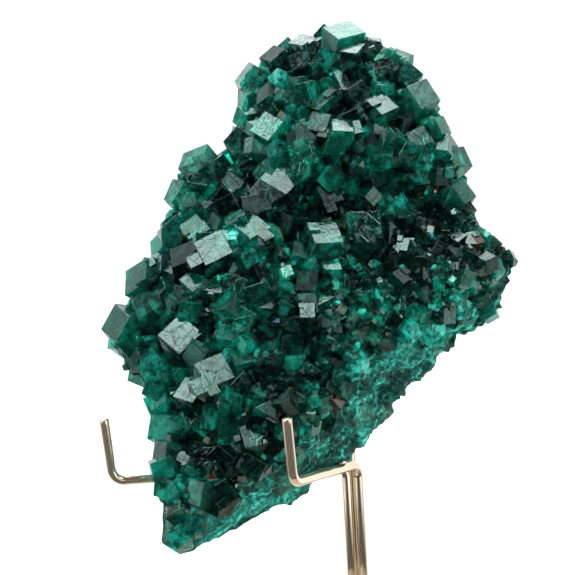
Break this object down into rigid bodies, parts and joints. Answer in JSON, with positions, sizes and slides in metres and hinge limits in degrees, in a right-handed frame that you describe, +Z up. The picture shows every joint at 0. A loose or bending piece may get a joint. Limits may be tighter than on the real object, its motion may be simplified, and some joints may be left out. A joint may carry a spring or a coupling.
{
  "type": "dioptase crystal specimen on wire stand",
  "caption": "Slab of matrix covered with blocky green dioptase crystals, leaning on a three-wire display stand with a round foot.",
  "frame": {"origin": "centre of the foot's flat underside, on the surface it stands on, straight under the post", "axes": "+Z up; the crystal face looks towards -Y; +X to the viewer's right"},
  "size_m": [0.0891, 0.084, 0.1213],
  "materials": {
    "dioptase": "glossy crystal faces, translucent at the edges",
    "polished_wire": "polished, warm nickel plate",
    "base_plate": "satin, warm nickel plate"
  },
  "bodies": {
    "root": {"dioptase_specimen": "dioptase", "left_arm_wire": "polished_wire", "right_arm_wire": "polished_wire", "back_rest_wire": "polished_wire", "stand_base": "base_plate"}
  },
  "joints": []
}
